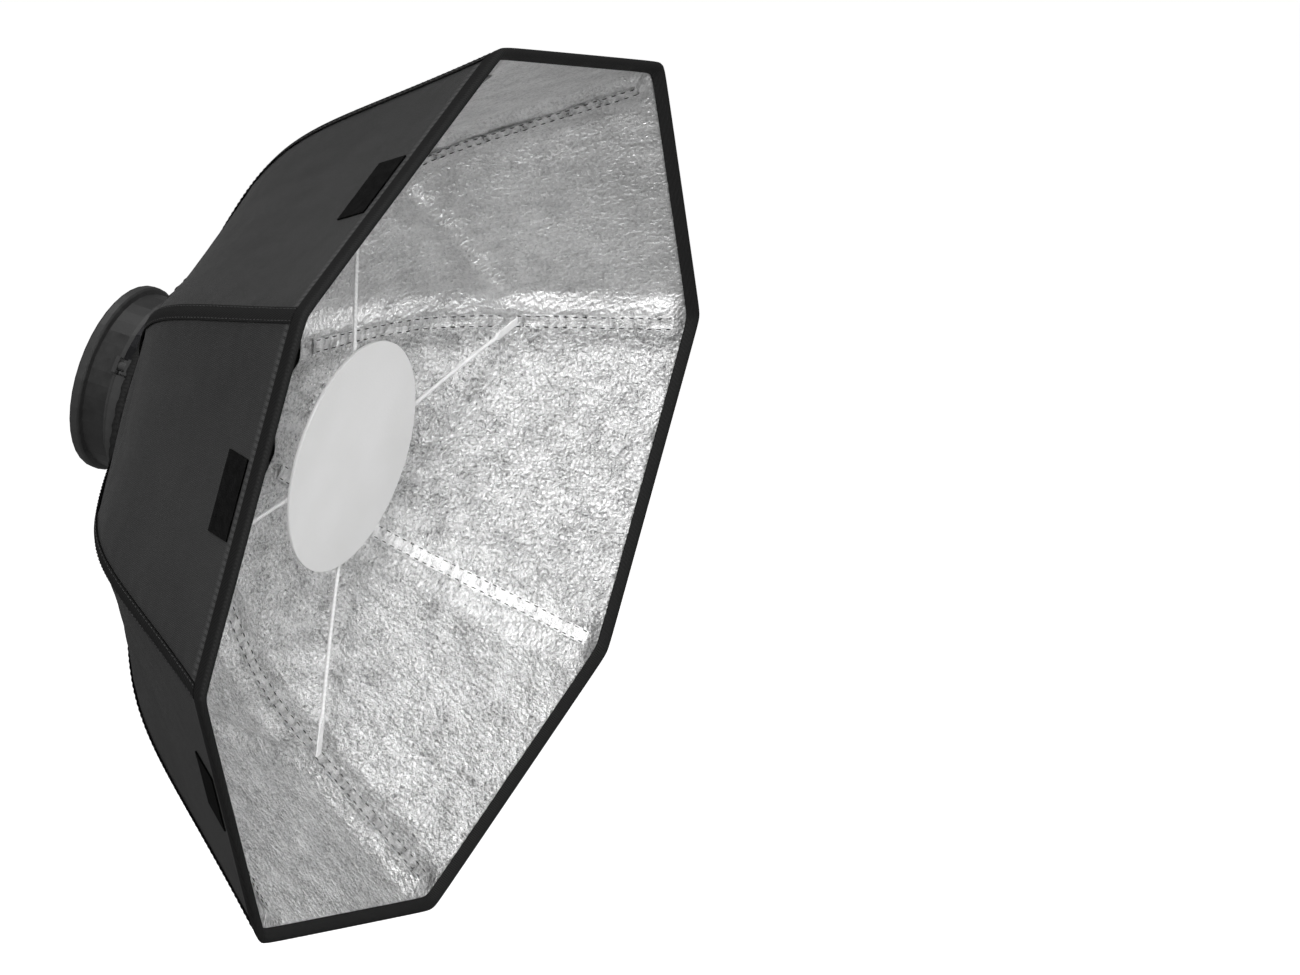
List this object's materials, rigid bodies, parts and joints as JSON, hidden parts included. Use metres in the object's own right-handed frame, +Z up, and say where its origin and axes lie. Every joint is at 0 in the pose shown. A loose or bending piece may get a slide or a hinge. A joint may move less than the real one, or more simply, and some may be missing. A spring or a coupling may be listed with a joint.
{
  "type": "octabox",
  "caption": "Eight-sided collapsible softbox dish with silver lining, hinged rods, deflector plate on cords and a speedring with clamp collar.",
  "frame": {"origin": "centre of the collar's rear opening, where the flash head slides in", "axes": "+Y along the box's axis, from the mouth towards the flash head; +Z up, with a flat side of the octagon at the top; +X to the right seen from the mouth"},
  "size_m": [0.5636, 0.2546, 0.5636],
  "materials": {
    "shell_plastic": "moulded black, fine grain",
    "grip_rubber": "matte black",
    "band_steel": "black painted spring steel",
    "bare_steel": "bright steel wire",
    "rod_fibreglass": "black fibreglass rod",
    "tip_plastic": "moulded cap",
    "black_cloth": "coated woven black nylon",
    "silver_cloth": "crinkled silver laminate on cloth",
    "plate_white": "satin white",
    "cord_white": "white elastic cord and tape",
    "hem_elastic": "gathered elastic hem"
  },
  "bodies": {
    "collar": {"adapter_collar": "shell_plastic", "grip_sleeve": "grip_rubber", "retaining_ring": "bare_steel", "clamp_band": "band_steel", "band_buckle": "shell_plastic", "lever_pin": "bare_steel"},
    "lever": {"clamp_lever": "shell_plastic"},
    "hub": {"hub_flange": "shell_plastic", "hub_cover": "shell_plastic", "pivot_wire": "bare_steel", "rear_hem": "hem_elastic", "deflector_plate": "plate_white", "deflector_cord_1": "cord_white", "deflector_cord_3": "cord_white", "deflector_cord_5": "cord_white", "deflector_cord_7": "cord_white"},
    "rib_1": {"rod_1": "rod_fibreglass", "rod_tip_1": "tip_plastic", "liner_gore_1": "silver_cloth"},
    "half_panel_1_left": {"panel_1_left": "black_cloth"},
    "half_panel_1_right": {"panel_1_right": "black_cloth"},
    "rib_2": {"rod_2": "rod_fibreglass", "rod_tip_2": "tip_plastic", "liner_gore_2": "silver_cloth"},
    "half_panel_2_left": {"panel_2_left": "black_cloth"},
    "half_panel_2_right": {"panel_2_right": "black_cloth"},
    "rib_3": {"rod_3": "rod_fibreglass", "rod_tip_3": "tip_plastic", "liner_gore_3": "silver_cloth"},
    "half_panel_3_left": {"panel_3_left": "black_cloth"},
    "half_panel_3_right": {"panel_3_right": "black_cloth"},
    "rib_4": {"rod_4": "rod_fibreglass", "rod_tip_4": "tip_plastic", "liner_gore_4": "silver_cloth"},
    "half_panel_4_left": {"panel_4_left": "black_cloth"},
    "half_panel_4_right": {"panel_4_right": "black_cloth"},
    "rib_5": {"rod_5": "rod_fibreglass", "rod_tip_5": "tip_plastic", "liner_gore_5": "silver_cloth"},
    "half_panel_5_left": {"panel_5_left": "black_cloth"},
    "half_panel_5_right": {"panel_5_right": "black_cloth"},
    "rib_6": {"rod_6": "rod_fibreglass", "rod_tip_6": "tip_plastic", "liner_gore_6": "silver_cloth"},
    "half_panel_6_left": {"panel_6_left": "black_cloth"},
    "half_panel_6_right": {"panel_6_right": "black_cloth"},
    "rib_7": {"rod_7": "rod_fibreglass", "rod_tip_7": "tip_plastic", "liner_gore_7": "silver_cloth"},
    "half_panel_7_left": {"panel_7_left": "black_cloth"},
    "half_panel_7_right": {"panel_7_right": "black_cloth"},
    "rib_8": {"rod_8": "rod_fibreglass", "rod_tip_8": "tip_plastic", "liner_gore_8": "silver_cloth"},
    "half_panel_8_left": {"panel_8_left": "black_cloth"},
    "half_panel_8_right": {"panel_8_right": "black_cloth"}
  },
  "joints": [
    {"name": "hub_turn", "type": "hinge", "parent": "collar", "child": "hub", "pos_m": [0, -0.05, 0], "axis": [0, 1, 0], "continuous": true},
    {"name": "lever_swing", "type": "hinge", "parent": "collar", "child": "lever", "pos_m": [-0.06192, -0.033, 0.01659], "axis": [0, 1, 0], "range_deg": [0, 110]},
    {"name": "rib_1_fold", "type": "hinge", "parent": "hub", "child": "rib_1", "pos_m": [0.07021, -0.058, 0.02908], "axis": [0.3827, 0, -0.9239], "range_deg": [0, 40], "deforming": ["liner_gore_1", "deflector_cord_1"]},
    {"name": "panel_1_left_pleat", "type": "hinge", "parent": "rib_1", "child": "half_panel_1_left", "pos_m": [0.05243, -0.058, 0.07202], "axis": [-0.0684, 0.115, 0.991], "range_deg": [0, 23], "deforming": ["panel_1_left"]},
    {"name": "panel_1_right_pleat", "type": "hinge", "parent": "rib_1", "child": "half_panel_1_right", "pos_m": [0.088, -0.058, -0.01385], "axis": [-0.6524, -0.115, 0.7491], "range_deg": [0, 23], "deforming": ["panel_1_right"]},
    {"name": "rib_2_fold", "type": "hinge", "parent": "hub", "child": "rib_2", "pos_m": [0.02908, -0.058, 0.07021], "axis": [0.9239, 0, -0.3827], "range_deg": [0, 40], "deforming": ["liner_gore_2"]},
    {"name": "panel_2_left_pleat", "type": "hinge", "parent": "rib_2", "child": "half_panel_2_left", "pos_m": [-0.01385, -0.058, 0.088], "axis": [-0.7491, 0.115, 0.6524], "range_deg": [0, 23], "deforming": ["panel_2_left"]},
    {"name": "panel_2_right_pleat", "type": "hinge", "parent": "rib_2", "child": "half_panel_2_right", "pos_m": [0.07202, -0.058, 0.05243], "axis": [-0.991, -0.115, 0.0684], "range_deg": [0, 23], "deforming": ["panel_2_right"]},
    {"name": "rib_3_fold", "type": "hinge", "parent": "hub", "child": "rib_3", "pos_m": [-0.02908, -0.058, 0.07021], "axis": [0.9239, 0, 0.3827], "range_deg": [0, 40], "deforming": ["liner_gore_3", "deflector_cord_3"]},
    {"name": "panel_3_left_pleat", "type": "hinge", "parent": "rib_3", "child": "half_panel_3_left", "pos_m": [-0.07202, -0.058, 0.05243], "axis": [-0.991, 0.115, -0.0684], "range_deg": [0, 23], "deforming": ["panel_3_left"]},
    {"name": "panel_3_right_pleat", "type": "hinge", "parent": "rib_3", "child": "half_panel_3_right", "pos_m": [0.01385, -0.058, 0.088], "axis": [-0.7491, -0.115, -0.6524], "range_deg": [0, 23], "deforming": ["panel_3_right"]},
    {"name": "rib_4_fold", "type": "hinge", "parent": "hub", "child": "rib_4", "pos_m": [-0.07021, -0.058, 0.02908], "axis": [0.3827, 0, 0.9239], "range_deg": [0, 40], "deforming": ["liner_gore_4"]},
    {"name": "panel_4_left_pleat", "type": "hinge", "parent": "rib_4", "child": "half_panel_4_left", "pos_m": [-0.088, -0.058, -0.01385], "axis": [-0.6524, 0.115, -0.7491], "range_deg": [0, 23], "deforming": ["panel_4_left"]},
    {"name": "panel_4_right_pleat", "type": "hinge", "parent": "rib_4", "child": "half_panel_4_right", "pos_m": [-0.05243, -0.058, 0.07202], "axis": [-0.0684, -0.115, -0.991], "range_deg": [0, 23], "deforming": ["panel_4_right"]},
    {"name": "rib_5_fold", "type": "hinge", "parent": "hub", "child": "rib_5", "pos_m": [-0.07021, -0.058, -0.02908], "axis": [-0.3827, 0, 0.9239], "range_deg": [0, 40], "deforming": ["liner_gore_5", "deflector_cord_5"]},
    {"name": "panel_5_left_pleat", "type": "hinge", "parent": "rib_5", "child": "half_panel_5_left", "pos_m": [-0.05243, -0.058, -0.07202], "axis": [0.0684, 0.115, -0.991], "range_deg": [0, 23], "deforming": ["panel_5_left"]},
    {"name": "panel_5_right_pleat", "type": "hinge", "parent": "rib_5", "child": "half_panel_5_right", "pos_m": [-0.088, -0.058, 0.01385], "axis": [0.6524, -0.115, -0.7491], "range_deg": [0, 23], "deforming": ["panel_5_right"]},
    {"name": "rib_6_fold", "type": "hinge", "parent": "hub", "child": "rib_6", "pos_m": [-0.02908, -0.058, -0.07021], "axis": [-0.9239, 0, 0.3827], "range_deg": [0, 40], "deforming": ["liner_gore_6"]},
    {"name": "panel_6_left_pleat", "type": "hinge", "parent": "rib_6", "child": "half_panel_6_left", "pos_m": [0.01385, -0.058, -0.088], "axis": [0.7491, 0.115, -0.6524], "range_deg": [0, 23], "deforming": ["panel_6_left"]},
    {"name": "panel_6_right_pleat", "type": "hinge", "parent": "rib_6", "child": "half_panel_6_right", "pos_m": [-0.07202, -0.058, -0.05243], "axis": [0.991, -0.115, -0.0684], "range_deg": [0, 23], "deforming": ["panel_6_right"]},
    {"name": "rib_7_fold", "type": "hinge", "parent": "hub", "child": "rib_7", "pos_m": [0.02908, -0.058, -0.07021], "axis": [-0.9239, 0, -0.3827], "range_deg": [0, 40], "deforming": ["liner_gore_7", "deflector_cord_7"]},
    {"name": "panel_7_left_pleat", "type": "hinge", "parent": "rib_7", "child": "half_panel_7_left", "pos_m": [0.07202, -0.058, -0.05243], "axis": [0.991, 0.115, 0.0684], "range_deg": [0, 23], "deforming": ["panel_7_left"]},
    {"name": "panel_7_right_pleat", "type": "hinge", "parent": "rib_7", "child": "half_panel_7_right", "pos_m": [-0.01385, -0.058, -0.088], "axis": [0.7491, -0.115, 0.6524], "range_deg": [0, 23], "deforming": ["panel_7_right"]},
    {"name": "rib_8_fold", "type": "hinge", "parent": "hub", "child": "rib_8", "pos_m": [0.07021, -0.058, -0.02908], "axis": [-0.3827, 0, -0.9239], "range_deg": [0, 40], "deforming": ["liner_gore_8"]},
    {"name": "panel_8_left_pleat", "type": "hinge", "parent": "rib_8", "child": "half_panel_8_left", "pos_m": [0.088, -0.058, 0.01385], "axis": [0.6524, 0.115, 0.7491], "range_deg": [0, 23], "deforming": ["panel_8_left"]},
    {"name": "panel_8_right_pleat", "type": "hinge", "parent": "rib_8", "child": "half_panel_8_right", "pos_m": [0.05243, -0.058, -0.07202], "axis": [0.0684, -0.115, 0.991], "range_deg": [0, 23], "deforming": ["panel_8_right"]}
  ],
  "couplings": [
    {"joint": "panel_1_left_pleat", "follows": "rib_1_fold", "ratio": 0.56977},
    {"joint": "panel_1_right_pleat", "follows": "rib_1_fold", "ratio": 0.56977},
    {"joint": "rib_2_fold", "follows": "rib_1_fold", "ratio": 1},
    {"joint": "panel_2_left_pleat", "follows": "rib_1_fold", "ratio": 0.56977},
    {"joint": "panel_2_right_pleat", "follows": "rib_1_fold", "ratio": 0.56977},
    {"joint": "rib_3_fold", "follows": "rib_1_fold", "ratio": 1},
    {"joint": "panel_3_left_pleat", "follows": "rib_1_fold", "ratio": 0.56977},
    {"joint": "panel_3_right_pleat", "follows": "rib_1_fold", "ratio": 0.56977},
    {"joint": "rib_4_fold", "follows": "rib_1_fold", "ratio": 1},
    {"joint": "panel_4_left_pleat", "follows": "rib_1_fold", "ratio": 0.56977},
    {"joint": "panel_4_right_pleat", "follows": "rib_1_fold", "ratio": 0.56977},
    {"joint": "rib_5_fold", "follows": "rib_1_fold", "ratio": 1},
    {"joint": "panel_5_left_pleat", "follows": "rib_1_fold", "ratio": 0.56977},
    {"joint": "panel_5_right_pleat", "follows": "rib_1_fold", "ratio": 0.56977},
    {"joint": "rib_6_fold", "follows": "rib_1_fold", "ratio": 1},
    {"joint": "panel_6_left_pleat", "follows": "rib_1_fold", "ratio": 0.56977},
    {"joint": "panel_6_right_pleat", "follows": "rib_1_fold", "ratio": 0.56977},
    {"joint": "rib_7_fold", "follows": "rib_1_fold", "ratio": 1},
    {"joint": "panel_7_left_pleat", "follows": "rib_1_fold", "ratio": 0.56977},
    {"joint": "panel_7_right_pleat", "follows": "rib_1_fold", "ratio": 0.56977},
    {"joint": "rib_8_fold", "follows": "rib_1_fold", "ratio": 1},
    {"joint": "panel_8_left_pleat", "follows": "rib_1_fold", "ratio": 0.56977},
    {"joint": "panel_8_right_pleat", "follows": "rib_1_fold", "ratio": 0.56977}
  ]
}
